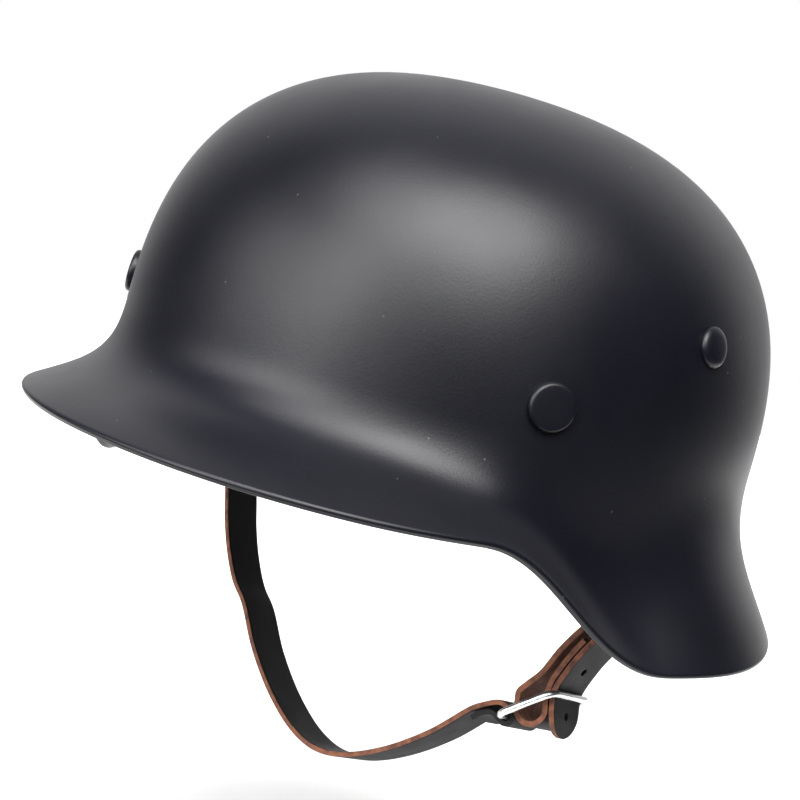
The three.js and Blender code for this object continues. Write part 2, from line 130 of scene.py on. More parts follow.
def cells(tree, scale):
    place = node(tree, "ShaderNodeTexCoord")
    made = node(tree, "ShaderNodeTexVoronoi", Scale=scale)
    join(tree, place, "Object", made, "Vector")
    return made


def ramp(tree, source, output, stops):
    made = node(tree, "ShaderNodeValToRGB")
    elements = made.color_ramp.elements
    while len(elements) < len(stops):
        elements.new(0.5)
    for element, (position, color) in zip(elements, stops):
        element.position = position
        element.color = (*color, 1)
    join(tree, source, output, made, "Fac")
    return made


def grey(value):
    return (value, value, value)


def fade(tree, source, edges, first, second):
    return ramp(tree, source, "Fac", [(edges[0], first), (edges[1], second)])


def bump(tree, shader, layers):
    previous = None
    for source, output, strength, distance in layers:
        made = node(tree, "ShaderNodeBump", Strength=strength, Distance=distance)
        join(tree, source, output, made, "Height")
        if previous:
            join(tree, previous, "Normal", made, "Normal")
        previous = made
    join(tree, previous, "Normal", shader, "Normal")


def mixed(tree, mask, first, second):
    made = node(tree, "ShaderNodeMixRGB")
    join(tree, mask, "Color", made, "Fac")
    join(tree, first, "Color", made, "Color1")
    made.inputs["Color2"].default_value = (*second, 1)
    return made


# Camera, first of all

camera = {
    "azimuth": 35.52,
    "elevation": 9.26,
    "roll": 12.53,
    "lens": 75.15,
    "shift": (-0.0015, -0.002),
    "distance": 568.02,
    "aside": -12.45,
    "height": 54.18,
    "sensor": 36,
    "clipStart": 0.01,
}
shellSeat = Vector((0, 7.02, 159.16))


def addCamera():
    azimuth, elevation, roll = (math.radians(camera[key]) for key in ("azimuth", "elevation", "roll"))
    right = Vector((math.cos(azimuth), math.sin(azimuth), 0))
    back = Vector((math.sin(azimuth) * math.cos(elevation), -math.cos(azimuth) * math.cos(elevation),
                   math.sin(elevation)))
    up = back.cross(right)
    rolledRight = right * math.cos(roll) + up * math.sin(roll)
    rolledUp = up * math.cos(roll) - right * math.sin(roll)
    target = right * camera["aside"] + Vector((0, 0, camera["height"]))
    place = (target + back * camera["distance"] - shellSeat) * mm
    turn = Matrix((rolledRight, rolledUp, back)).transposed().to_4x4()
    data = bpy.data.cameras.new("camera")
    data.lens = camera["lens"]
    data.sensor_width = camera["sensor"]
    data.shift_x, data.shift_y = camera["shift"]
    data.clip_start = camera["clipStart"]
    seen = bpy.data.objects.new("camera", data)
    bpy.context.scene.collection.objects.link(seen)
    seen.matrix_world = Matrix.Translation(place) @ turn
    bpy.context.scene.camera = seen


addCamera()
print("camera placed")


# Pressed steel shell

shell = {
    "browReach": 107.5,
    "napeReach": 115.5,
    "domeHalfWidth": 105.8,
    "domeRise": 99,
    "domeCentreY": -3.2,
    "waistHeight": 61.9,
    "domeLean": 6,
    "planPower": 2.02,
    "crownPower": 2.53,
    "sheet": 1.2,
    "visorReach": 149,
    "neckReach": 129.5,
    "flareHalfWidth": 128.3,
    "visorHeight": 46,
    "templeHeight": 38,
    "neckSideHeight": 6.4,
    "neckRearHeight": 2.1,
    "stepStart": 43.6,
    "stepEnd": 76.1,
    "templeAt": 90,
    "neckFrom": 110,
    "neckRun": 70,
    "browPull": 0.45,
    "neckPull": 0.41,
    "pullFrom": 60,
    "pullRun": 60,
    "hemThickness": 2.6,
    "hemWidth": 6,
    "hemRound": 0.35,
    "hemShares": (0.75, 0.5, 0.25, 0.08),
    "hemCorner": ((0.3, 0), (1, 0.05)),  # share of the rounding, lift
    "hemStep": ((0.15, 0.05), (0.02, 0.12), (0, 0.4)),  # height over the sheet, lift
    "tipGroove": 0.17,
    "grooveTurn": 1.75,
    "grooveSpread": 0.3,
    "aroundSteps": 176,
    "domeRows": 26,
    "crownPacking": 1.4,
    "flareRows": 22,
    "rowsUnderHem": 5,
    "tipRows": 12,
    "probe": 0.02,
    "smoothAngle": 60,
}
# rim values from the front to the back, one for each 30 degrees
rimSpacing = 30
rimReach = (1, 0.982, 0.907, 1, 0.972, 0.974, 1)
rimSlope = (21.5, 23.1, 37.4, 62.5, 58.7, 58.8, 62.4)


def foldedAngle(angle):
    turned = angle % 360
    return 360 - turned if turned > 180 else turned


def rimValue(column, angle):
    last = len(column) - 1
    place = foldedAngle(angle) / rimSpacing
    i = min(int(place), last - 1)
    t = place - i
    around = [-k if k < 0 else 2 * last - k if k > last else k for k in (i - 1, i, i + 1, i + 2)]
    a, b, c, d = (column[k] for k in around)
    rise, following = (c - a) / 2, (d - b) / 2
    return (b + rise * t + (3 * (c - b) - 2 * rise - following) * t * t
            + (2 * (b - c) + rise + following) * t ** 3)


def ovalRadius(angle, front, rear, side, power):
    cosine, sine = math.cos(math.radians(angle)), math.sin(math.radians(angle))
    along = abs(cosine) / (front if cosine > 0 else rear)
    return 1 / (along ** power + (abs(sine) / side) ** power) ** (1 / power)


def outward(angle):
    return Vector((math.sin(math.radians(angle)), -math.cos(math.radians(angle)), 0))


domeLean = math.radians(shell["domeLean"])
leanTurn = Matrix.Rotation(-domeLean, 3, "X")
domeCentre = Vector((0, shell["domeCentreY"], shell["waistHeight"]))


def domePoint(angle, level):
    share = 2 / shell["crownPower"]
    turn = level * math.pi / 2
    radius = ovalRadius(
        angle, shell["browReach"], shell["napeReach"], shell["domeHalfWidth"], shell["planPower"])
    spread = 0 if level >= 1 else radius * math.cos(turn) ** share
    point = outward(angle) * spread
    point.z = shell["domeRise"] * math.sin(turn) ** share
    return leanTurn @ point + domeCentre


def rimHeight(angle):
    folded = foldedAngle(angle)
    towardsTemple = smoothStep(folded / shell["templeAt"])
    towardsNeck = smoothStep((folded - shell["neckFrom"]) / shell["neckRun"])
    side = shell["visorHeight"] + (shell["templeHeight"] - shell["visorHeight"]) * towardsTemple
    neck = shell["neckSideHeight"] + (shell["neckRearHeight"] - shell["neckSideHeight"]) * towardsNeck
    step = smoothStep((folded - shell["stepStart"]) / (shell["stepEnd"] - shell["stepStart"]))
    return side + (neck - side) * step


flares = {}


def flare(angle):
    key = round(angle % 360, 6)
    if key not in flares:
        start = domePoint(angle, 0)
        slope = math.radians(rimValue(rimSlope, angle))
        lead = outward(angle) * math.cos(slope) - Vector((0, 0, math.sin(slope)))
        reach = rimValue(rimReach, angle) * ovalRadius(
            angle, shell["visorReach"], shell["neckReach"], shell["flareHalfWidth"], 2)
        end = outward(angle) * reach
        end.z = rimHeight(angle)
        length = (end - start).length
        pull = shell["browPull"] + (shell["neckPull"] - shell["browPull"]) * smoothStep(
            (foldedAngle(angle) - shell["pullFrom"]) / shell["pullRun"])
        down = Vector((0, -math.sin(domeLean), -math.cos(domeLean)))
        last = end - lead * shell["hemThickness"] / 2
        points = (start, start + down * length * pull, end - lead * length * pull, last)
        flares[key] = (points, lead, length, pull)
    return flares[key]


def wallPoint(angle, level):
    if level >= 0:
        return domePoint(angle, level)
    a, b, c, d = flare(angle)[0]
    t = -level
    s = 1 - t
    return a * s ** 3 + b * (3 * s * s * t) + c * (3 * s * t * t) + d * t ** 3


def wallNormal(angle, level):
    if level > 0.999:
        return leanTurn @ Vector((0, 0, 1))
    high = wallPoint(angle, min(level + shell["probe"], 1))
    low = wallPoint(angle, max(level - shell["probe"], -1))
    across = wallPoint(angle - 1, level) - wallPoint(angle + 1, level)
    return (high - low).cross(across).normalized()


def below(angle, level, depth):
    return wallPoint(angle, level) - wallNormal(angle, level) * depth


def shellSection():
    # rows of the section as functions of the angle, from the crown down outside and back up inside
    hem, sheet = shell["hemThickness"], shell["sheet"]

    def tip(turn):
        def place(angle):
            normal = wallNormal(angle, -1)
            away = (turn - shell["grooveTurn"]) / shell["grooveSpread"]
            groove = 1 - shell["tipGroove"] * math.exp(-away ** 2)
            out = Vector(flare(angle)[1]) * math.sin(turn) + normal * math.cos(turn)
            return below(angle, -1, hem / 2) + out * (hem / 2) * groove
        return place

    def hemTop(angle):
        length, pull = flare(angle)[2:]
        return -1 + shell["hemWidth"] / (3 * pull * length)

    def hemRow(depth, share, lift=0):
        def place(angle):
            level = hemTop(angle) * (1 - share) - share
            return below(angle, level + lift * (hemTop(angle) + 1), depth)
        return place

    levels = [(1 - i / shell["domeRows"]) ** shell["crownPacking"] for i in range(shell["domeRows"] + 1)]
    rows = [(lambda angle, level=level: below(angle, level, 0)) for level in levels]
    rows += [(lambda angle, level=-i / shell["flareRows"]: below(angle, level, 0))
             for i in range(1, shell["flareRows"] + 1)]
    rows += [tip(math.pi * i / shell["tipRows"]) for i in range(1, shell["tipRows"] + 1)]
    rows += [hemRow(hem, share) for share in shell["hemShares"]]
    rows += [hemRow(hem - shell["hemRound"] * share, 0, lift) for share, lift in shell["hemCorner"]]
    rows += [hemRow(sheet + height, 0, lift) for height, lift in shell["hemStep"]]
    inner = [-i / shell["flareRows"] for i in range(shell["flareRows"] - shell["rowsUnderHem"], 0, -1)]
    rows += [(lambda angle, level=level: below(angle, level, sheet)) for level in inner]
    rows += [(lambda angle, level=level: below(angle, level, sheet)) for level in reversed(levels)]
    return rows


def makeShell(material):
    rows = shellSection()
    bpy.ops.mesh.primitive_uv_sphere_add(segments=shell["aroundSteps"], ring_count=len(rows) - 1, radius=1)
    piece = fresh("steel_shell")
    for vertex in piece.data.vertices:
        row = round(math.acos(max(-1, min(1, vertex.co.z))) / math.pi * (len(rows) - 1))
        angle = math.degrees(math.atan2(vertex.co.x, -vertex.co.y))
        vertex.co = (rows[row](angle) - shellSeat) * mm
    addModifier(piece, "SUBSURF", levels=1, render_levels=1)
    smoothShade(piece, shell["smoothAngle"])
    piece.data.materials.append(material)
    handOver(piece, "painted_steel", "shell")


# Paint on the shell and the rivets

paint = {
    "color": (0.0018, 0.0020, 0.0040),
    "paleColor": (0.0042, 0.0045, 0.0078),
    "speckColor": (0.04, 0.04, 0.042),
    "roughness": (0.34, 0.42),
    "specular": 0.3,
    "clouds": (9, 4),  # each pattern as its scale and detail
    "cloudEdges": (0.35, 0.7),
    "smears": (22, 5),
    "smearEdges": (0.3, 0.7),
    "specks": 95,
    "speckEdges": (0.02, 0.04),
    "speckBump": (0.2, 0.0002),  # each bump as its strength and depth
    "dents": (45, 3),
    "dentBump": (0.12, 0.0008),
    "peel": (1250, 3),
    "peelBump": (0.1, 0.0003),
}


def paintedSteel():
    material, shader = newMaterial("satin black paint")
    tree = material.node_tree
    shader.inputs["Specular IOR Level"].default_value = paint["specular"]
    clouds = noise(tree, *paint["clouds"])
    color = fade(tree, clouds, paint["cloudEdges"], paint["color"], paint["paleColor"])
    specks = cells(tree, paint["specks"])
    inner, outer = paint["speckEdges"]
    speckMask = ramp(tree, specks, "Distance", [(0, grey(1)), (inner, grey(1)), (outer, grey(0))])
    color = mixed(tree, speckMask, color, paint["speckColor"])
    join(tree, color, "Color", shader, "Base Color")
    smears = noise(tree, *paint["smears"])
    low, high = paint["roughness"]
    rough = fade(tree, smears, paint["smearEdges"], grey(low), grey(high))
    join(tree, rough, "Color", shader, "Roughness")
    peel = noise(tree, *paint["peel"])
    dents = noise(tree, *paint["dents"])
    bump(tree, shader, [(dents, "Fac", *paint["dentBump"]), (peel, "Fac", *paint["peelBump"]),
                        (speckMask, "Color", *paint["speckBump"])])
    return material


paintMaterial = paintedSteel()
makeShell(paintMaterial)
print("shell made")


# Rivets: one is modelled at the origin, then a copy goes to each place

rivet = {
    "rise": 2.2,
    "shank": 5,
    "clench": 11,
    "clenchDepth": 1.2,
    "clenchFace": 0.8,
    "clenchRings": ((0.95, 0.15), (1, 0.5), (1, 0.65)),  # share of the radius, height
    "clenchTop": 0.98,
    "underside": (0.99, -0.28),  # share of the head's radius, climb
    "edgeFoot": 0.2,
    "crown": ((0.8, 0.05), (0.4, 0.03)),  # share of the flat top's radius, climb
    "roundingSteps": 8,
    "seatGap": 0.1,
    "sides": 64,
    "halvings": 40,
    "smoothAngle": 40,
}
# angle, height, head diameter, and how far the rounding reaches in from the edge and drops
rivetPlaces = {
    "rivet_front": (51.6, 77.9, 14.2, 1.2, 1.2),
    "rivet_side": (81.3, 100.7, 12.4, 4, 1.8),
}


def levelAtHeight(angle, height):
    low, high = 0.0, 1.0
    for halving in range(rivet["halvings"]):
        middle = (low + high) / 2
        if wallPoint(angle, middle).z < height:
            low = middle
        else:
            high = middle
    return low


def rivetRings(head, edgeWidth, edgeDrop):
    # radius of each ring and its climb over the ring before, from the clenched end to the top of the head
    clench, shank = rivet["clench"] / 2, rivet["shank"] / 2
    rings, level = [], 0
    for share, height in (*rivet["clenchRings"], (rivet["clenchTop"], rivet["clenchDepth"])):
        rings.append((clench * share, height - level))
        level = height
    share, climb = rivet["underside"]
    rings += [(shank, 0), (shank, shell["sheet"] + 2 * rivet["seatGap"]), (head * share, climb),
              (head, rivet["edgeFoot"]), (head, rivet["rise"] - edgeDrop)]
    turns = [math.pi / 2 * i / rivet["roundingSteps"] for i in range(rivet["roundingSteps"] + 1)]
    rings += [(head - edgeWidth * (1 - math.cos(turn)), edgeDrop * (math.sin(turn) - math.sin(before)))
              for before, turn in zip(turns, turns[1:])]
    top = rings[-1][0]
    return rings + [(share * top, climb) for share, climb in rivet["crown"]]


def makeRivetMesh(head, edgeWidth, edgeDrop):
    inside = -shell["sheet"] - rivet["seatGap"] - rivet["clenchDepth"]
    radius = rivet["clench"] / 2 * rivet["clenchFace"]
    bpy.ops.mesh.primitive_circle_add(vertices=rivet["sides"], radius=radius, fill_type="NGON",
                                      location=(0, 0, inside))
    piece = fresh("rivet_pattern")
    settle(piece)
    bpy.ops.object.mode_set(mode="EDIT")
    bpy.ops.mesh.select_all(action="SELECT")
    for nextRadius, climb in rivetRings(head, edgeWidth, edgeDrop):
        size = nextRadius / radius
        bpy.ops.mesh.extrude_region_move(TRANSFORM_OT_translate={"value": (0, 0, climb)})
        bpy.ops.transform.resize(value=(size, size, 1), center_override=(0, 0, 0))
        radius = nextRadius
    bpy.ops.object.mode_set(mode="OBJECT")
    outwardNormals(piece)
    return piece


def makeRivets(material):
    for base, (angle, height, head, edgeWidth, edgeDrop) in rivetPlaces.items():
        pattern = makeRivetMesh(head / 2, edgeWidth, edgeDrop)
        level = levelAtHeight(angle, height)
        for suffix, sign in (("left", 1), ("right", -1)):
            piece = pattern.copy()
            piece.data = pattern.data.copy()
            bpy.context.scene.collection.objects.link(piece)
            piece.name = piece.data.name = f"{base}_{suffix}_head"
            facing = wallNormal(sign * angle, level)
            turn = Vector((0, 0, 1)).rotation_difference(facing).to_matrix().to_4x4()
            place = (wallPoint(sign * angle, level) - shellSeat) * mm
            piece.data.transform(Matrix.Translation(place) @ turn @ Matrix.Scale(mm, 4))
            piece.data.materials.append(material)
            smoothShade(piece, rivet["smoothAngle"])
            handOver(piece, "painted_steel", f"{base}_{suffix}")
        bpy.data.objects.remove(pattern)


makeRivets(paintMaterial)
print("rivets made")


# Leather strap: strips cut flat, then bent along their routes in a plane that leans back

strap = {
    "width": 18,
    "leather": 1.8,
    "layerGap": 0.5,
    "foldPlay": 0.6,
    "lean": 15,
    "span": 98,
    "drop": 70.5,
    "edgeRound": 0.4,
    "edgeSegments": 2,
    "holes": 2,
    "hole": 2.6,
    "holePitch": 16,
    "firstHole": 7,
    "holeSides": 24,
    "holeMargin": 0.5,
    "punchDepth": 3,
    "hairpinRadius": 5.3,
    "hairpinFrom": 0.5,
    "hairpinTo": 0.902,
    "hairpinStep": 0.06,
    "farSewnLength": 7,
    # length of strap at its fold round the buckle bar whose cut edges are painted black: painted shade in the
    # fold
    "foldShadeRun": 21,
    "bailRise": 32,
    "bailWire": 2.4,
    "step": 0.7,
    "tailStep": 1.15,
    "cellsAcross": 14,
    "tipLeast": 0.12,
    "bevelAngle": 50,
    "smoothAngle": 35,
    "edgeFacing": 0.6,
    "wallFacing": 0.9,
}
buckle = {
    "at": 0.813,
    "length": 20.4,
    "dip": 40.8,
    "wire": 2.3,
    "sideGap": 2.7,
    "forward": 1.5,
    "barGap": 0.35,
    "loopTurn": 70,
    "corner": 3.2,
    "cornerSteps": 8,
    "sides": 20,
    "smoothAngle": 60,
}
# points along the strap, as shares of its span and of its drop
tailRoute = ((0.944, 0.213), (0.881, 0.057), (0.837, -0.05), (0.807, -0.149), (0.782, -0.285),
             (0.79, -0.335), (0.805, -0.405), (0.815, -0.48))
cheekRoute = ((0.898, 0.227), (0.811, 0.051), (0.753, -0.099), (0.717, -0.233), (0.681, -0.308),
              (0.663, -0.352))
sewnRoute = ((0.533, -0.55), (0.557, -0.513), (0.597, -0.487))
pullRoute = ((0.617, -0.43), (0.546, -0.483))
jawRoute = ((0.52, -0.512), (0.403, -0.694), (0.256, -0.862), (0.113, -0.969), (0, -1))
farCheekRoute = ((0.595, -0.43), (0.672, -0.3), (0.735, -0.16), (0.785, -0.02), (0.842, 0.12), (0.905, 0.27))

strapLean = math.radians(strap["lean"])
strapUp = Vector((0, math.sin(strapLean), math.cos(strapLean)))
strapBack = Vector((0, math.cos(strapLean), -math.sin(strapLean)))


def inStrapPlane(point, width=0):
    place = Vector((point.x, 0, 0)) + strapUp * point.y + strapBack * width
    return (place - shellSeat) * mm


def routePoints(rows, side=1):
    return [Vector((side * across * strap["span"], rise * strap["drop"])) for across, rise in rows]


def arcPoints(centre, radius, first, last, steps=12):
    turns = [math.radians(first + (last - first) * i / steps) for i in range(steps + 1)]
    return [centre + Vector((math.cos(turn), math.sin(turn))) * radius for turn in turns]


def smoothLine(points, step):
    # Centripetal curve through the points, with even steps
    knots = [0.0]
    for before, after in zip(points, points[1:]):
        knots.append(knots[-1] + max((after - before).length, 1e-6) ** 0.5)
    first = points[0] * 2 - points[1]
    last = points[-1] * 2 - points[-2]
    padded = [first, *points, last]
    times = [2 * knots[0] - knots[1], *knots, 2 * knots[-1] - knots[-2]]
    dense = []
    for i in range(1, len(points)):
        p0, p1, p2, p3 = padded[i - 1:i + 3]
        t0, t1, t2, t3 = times[i - 1:i + 3]
        count = max(2, int((p2 - p1).length / (step / 3)))
        for k in range(count):
            t = t1 + (t2 - t1) * k / count
            a1 = p0 * ((t1 - t) / (t1 - t0)) + p1 * ((t - t0) / (t1 - t0))
            a2 = p1 * ((t2 - t) / (t2 - t1)) + p2 * ((t - t1) / (t2 - t1))
            a3 = p2 * ((t3 - t) / (t3 - t2)) + p3 * ((t - t2) / (t3 - t2))
            b1 = a1 * ((t2 - t) / (t2 - t0)) + a2 * ((t - t0) / (t2 - t0))
            b2 = a2 * ((t3 - t) / (t3 - t1)) + a3 * ((t - t1) / (t3 - t1))
            dense.append(b1 * ((t2 - t) / (t2 - t1)) + b2 * ((t - t1) / (t2 - t1)))
    dense.append(points[-1].copy())
    runs = [0.0]
    for before, after in zip(dense, dense[1:]):
        runs.append(runs[-1] + (after - before).length)
    count = max(4, round(runs[-1] / step))
    even, k = [], 0
    for i in range(count + 1):
        wanted = runs[-1] * i / count
        while k < len(runs) - 2 and runs[k + 1] < wanted:
            k += 1
        share = (wanted - runs[k]) / max(runs[k + 1] - runs[k], 1e-9)
        even.append(dense[k].lerp(dense[k + 1], min(max(share, 0), 1)))
    return even, runs[-1]


def leftOf(line, i):
    ahead, behind = line[min(i + 1, len(line) - 1)], line[max(i - 1, 0)]
    along = (ahead - behind).normalized()
    return Vector((-along.y, along.x))


bailRadius = (strap["bailWire"] + strap["leather"]) / 2 + strap["foldPlay"]
bailBar = Vector((strap["span"], strap["bailRise"]))
tailStart = Vector((bailBar.x + bailRadius, bailBar.y))
tailLine = smoothLine([tailStart, *routePoints(tailRoute)], strap["tailStep"])[0]


def tailPlace(share, inwards):
    i = round(share * (len(tailLine) - 1))
    return tailLine[i] - leftOf(tailLine, i) * inwards


outerBar = tailPlace(buckle["at"], -(strap["leather"] + buckle["wire"]) / 2 - buckle["barGap"])
buckleLine = Vector((-math.cos(math.radians(buckle["dip"])), -math.sin(math.radians(buckle["dip"]))))
innerBar = outerBar + buckleLine * buckle["length"]
barRadius = (buckle["wire"] + strap["leather"]) / 2 + buckle["barGap"]


def leftRoute():
    inwards = strap["leather"] + strap["layerGap"]
    hairpin = []
    share = strap["hairpinTo"]
    while share > strap["hairpinFrom"]:
        hairpin.append(tailPlace(share, inwards))
        share -= strap["hairpinStep"]
    foot = hairpin[0]
    centre = Vector((foot.x - strap["hairpinRadius"], foot.y))
    return [
        *reversed(routePoints(tailRoute)),
        *arcPoints(bailBar, bailRadius, 0, 180),
        *routePoints(cheekRoute),
        *arcPoints(centre, strap["hairpinRadius"], 180, 360),
        *hairpin[1:],
    ]


def rightRoute():
    bail = Vector((-bailBar.x, bailBar.y))
    far = routePoints(farCheekRoute, -1)
    climb = (bail - far[-1]).normalized()
    back = Vector((-climb.y, climb.x)) * (strap["leather"] + strap["layerGap"])
    return [
        *routePoints(sewnRoute),
        *reversed(arcPoints(innerBar, barRadius, buckle["loopTurn"], buckle["loopTurn"] - 180)),
        *routePoints(pullRoute),
        *routePoints(jawRoute),
        *list(reversed(routePoints(jawRoute, -1)))[1:],
        *far,
        *arcPoints(bail, bailRadius, 0, 180),
        far[-1] + back,
        far[-1] + back - climb * strap["farSewnLength"],
    ]


def makeStrip(name, route, roundTip):
    # The strip is cut flat as a grid, and each of its rows is then laid along the route
    line, length = smoothLine(route, strap["step"])
    rows = len(line) - 1
    bpy.ops.mesh.primitive_grid_add(x_subdivisions=rows, y_subdivisions=strap["cellsAcross"], size=1)
    piece = fresh(name)
    half = strap["width"] / 2
    for vertex in piece.data.vertices:
        row = round((vertex.co.x + 0.5) * rows)
        run = length * row / rows
        width = vertex.co.y * 2 * half
        if roundTip:
            left = max(1 - run / half, 0)
            width *= max(math.sqrt(1 - left * left), strap["tipLeast"])
        vertex.co = inStrapPlane(line[row], width)
    addModifier(piece, "SOLIDIFY", thickness=strap["leather"] * mm, offset=0)
    outwardNormals(piece)
    return piece, line, length


def holeRuns():
    return [strap["firstHole"] + i * strap["holePitch"] for i in range(strap["holes"])]


def punchHoles(piece, line, length):
    for run in holeRuns():
        k = round(run / length * (len(line) - 1))
        side = leftOf(line, k)
        direction = Vector((side.x, 0, 0)) + strapUp * side.y
        deselectAll()
        bpy.ops.mesh.primitive_cylinder_add(vertices=strap["holeSides"], radius=strap["hole"] / 2 * mm,
                                            depth=strap["punchDepth"] * mm)
        punch = fresh("punch")
        turn = Vector((0, 0, 1)).rotation_difference(direction).to_matrix().to_4x4()
        punch.data.transform(Matrix.Translation(inStrapPlane(line[k])) @ turn)
        addModifier(piece, "BOOLEAN", operation="DIFFERENCE", object=punch, solver="EXACT")
        bpy.data.objects.remove(punch)


def lineTree(line):
    tree = KDTree(len(line))
    for k, point in enumerate(line):
        tree.insert((point.x, point.y, 0), k)
    tree.balance()
    return tree


def leatherFaces(piece, line, length, foldShadeRun):
    # Grain side black, flesh side and cut edges brown; hole walls stay black, and the cut edges along the
    # first stretch of the strap, at its fold round the buckle bar, are painted black as painted shade
    tree = lineTree(line)
    holes = holeRuns() if foldShadeRun == 0 else []
    for face in piece.data.polygons:
        place = face.center / mm + shellSeat
        rise, width = place.dot(strapUp), place.dot(strapBack)
        k = tree.find((place.x, rise, 0))[1]
        run = length * k / (len(line) - 1)
        side = leftOf(line, k)
        facing = face.normal.dot(Vector((side.x, 0, 0)) + strapUp * side.y)
        reach = strap["hole"] / 2 + strap["holeMargin"]
        inHole = any(math.hypot(run - hole, width) < reach for hole in holes)
        # cut edges at the fold round the buckle bar are painted black here: painted shade
        if run < foldShadeRun or (inHole and abs(facing) < strap["wallFacing"]):
            face.material_index = 0
        elif abs(facing) < strap["edgeFacing"]:
            face.material_index = 1
        else:
            face.material_index = 2 if facing > 0 and foldShadeRun == 0 else 0


def finishStrip(strip, materials, foldShadeRun, *nodes):
    piece, line, length = strip
    addModifier(piece, "BEVEL", width=strap["edgeRound"] * mm, segments=strap["edgeSegments"],
                limit_method="ANGLE", angle_limit=math.radians(strap["bevelAngle"]))
    for material in materials:
        piece.data.materials.append(material)
    leatherFaces(piece, line, length, foldShadeRun)
    smoothShade(piece, strap["smoothAngle"])
    handOver(piece, "strap_leather", *nodes)


leather = {
    "black": (0.007, 0.0062, 0.0065),
    "worn": (0.014, 0.0125, 0.0125),
    "brown": (0.055, 0.016, 0.008),
    "paleBrown": (0.20, 0.070, 0.030),
    "darkFlesh": (0.10, 0.040, 0.024),
    "flesh": (0.26, 0.11, 0.065),
    "specular": 0.12,
    "clouds": (90, 4),
    "cloudEdges": (0.35, 0.75),
    "roughness": (0.5, 0.68),
    "roughEdges": (0.3, 0.8),
    "grain": 1500,
    "grainBump": (0.35, 0.0002),
    "creases": (300, 4),
    "creaseBump": (0.3, 0.0003),
    "cutClouds": (400, 4),
    "cutEdges": (0.3, 0.75),
    "cutRoughness": 0.8,
    "fibres": (1400, 4),
    "fibreBump": (0.4, 0.0003),
}


def blackLeather():
    material, shader = newMaterial("black strap leather")
    tree = material.node_tree
    shader.inputs["Specular IOR Level"].default_value = leather["specular"]
    clouds = noise(tree, *leather["clouds"])
    color = fade(tree, clouds, leather["cloudEdges"], leather["black"], leather["worn"])
    join(tree, color, "Color", shader, "Base Color")
    low, high = leather["roughness"]
    rough = fade(tree, clouds, leather["roughEdges"], grey(low), grey(high))
    join(tree, rough, "Color", shader, "Roughness")
    grain = cells(tree, leather["grain"])
    creases = noise(tree, *leather["creases"])
    bump(tree, shader, [(grain, "Distance", *leather["grainBump"]), (creases, "Fac", *leather["creaseBump"])])
    return material


def cutLeather(name, dark, pale):
    material, shader = newMaterial(name)
    tree = material.node_tree
    clouds = noise(tree, *leather["cutClouds"])
    color = fade(tree, clouds, leather["cutEdges"], dark, pale)
    join(tree, color, "Color", shader, "Base Color")
    shader.inputs["Roughness"].default_value = leather["cutRoughness"]
    fibres = noise(tree, *leather["fibres"])
    bump(tree, shader, [(fibres, "Fac", *leather["fibreBump"])])
    return material


strapMaterials = [blackLeather(), cutLeather("brown cut leather", leather["brown"], leather["paleBrown"]),
                  cutLeather("flesh side leather", leather["darkFlesh"], leather["flesh"])]
leftStrip = makeStrip("strap_left", leftRoute(), True)
punchHoles(*leftStrip)
finishStrip(leftStrip, strapMaterials, 0, "chin_strap_left")
rightStrip = makeStrip("strap_right", rightRoute(), False)
# the right strap's edges at its fold round the buckle bar are painted black as painted shade
finishStrip(rightStrip, strapMaterials, strap["foldShadeRun"], "chin_strap_right")
print("straps made")


# Buckle: a ring of wire drawn out straight along each side and spun round each corner

def makeBuckle(material):
    half = strap["width"] / 2 + buckle["sideGap"] + buckle["wire"] / 2
    along = inStrapPlane(buckleLine) - inStrapPlane(Vector((0, 0)))
    along.normalize()
    across = strapBack
    normal = along.cross(across).normalized()
    corner = buckle["corner"]
    middle = inStrapPlane((innerBar + outerBar) / 2, -buckle["forward"])
    longSide, shortSide = buckle["length"] / 2 - corner, half - corner
    bpy.ops.mesh.primitive_circle_add(vertices=buckle["sides"], radius=buckle["wire"] / 2,
                                      location=(0, shortSide + corner, 0), rotation=(0, math.pi / 2, 0))
    piece = fresh("buckle_wire")
    settle(piece)
    bpy.ops.object.mode_set(mode="EDIT")
    bpy.ops.mesh.select_all(action="SELECT")
    # half of a long side, then each corner and the side after it, back to the start
    direction, position = Vector((1, 0, 0)), Vector((0, shortSide + corner, 0))
    bpy.ops.mesh.extrude_edges_move(TRANSFORM_OT_translate={"value": direction * longSide})
    position += direction * longSide
    for length in (2 * shortSide, 2 * longSide, 2 * shortSide, longSide):
        inwards = Vector((direction.y, -direction.x, 0))
        centre = position + inwards * corner
        bpy.ops.mesh.spin(steps=buckle["cornerSteps"], angle=math.pi / 2, center=centre, axis=(0, 0, 1))
        bpy.ops.mesh.extrude_edges_move(TRANSFORM_OT_translate={"value": inwards * length})
        position = centre + direction * corner + inwards * length
        direction = inwards
    bpy.ops.mesh.select_all(action="SELECT")
    bpy.ops.mesh.remove_doubles(threshold=0.01)
    bpy.ops.object.mode_set(mode="OBJECT")
    basis = Matrix((along, across, normal)).transposed().to_4x4()
    piece.data.transform(Matrix.Translation(middle) @ basis @ Matrix.Scale(mm, 4))
    outwardNormals(piece)
    smoothShade(piece, buckle["smoothAngle"])
    piece.data.materials.append(material)
    handOver(piece, "buckle_metal", "buckle")


brightWire = {
    "dark": (0.62, 0.62, 0.61),
    "pale": (0.85, 0.85, 0.84),
    "roughness": (0.24, 0.4),
    "clouds": (500, 4),
    "cloudEdges": (0.3, 0.7),
    "roughEdges": (0.3, 0.75),
    "scratches": (1800, 3),
    "scratchBump": (0.12, 0.0001),
}


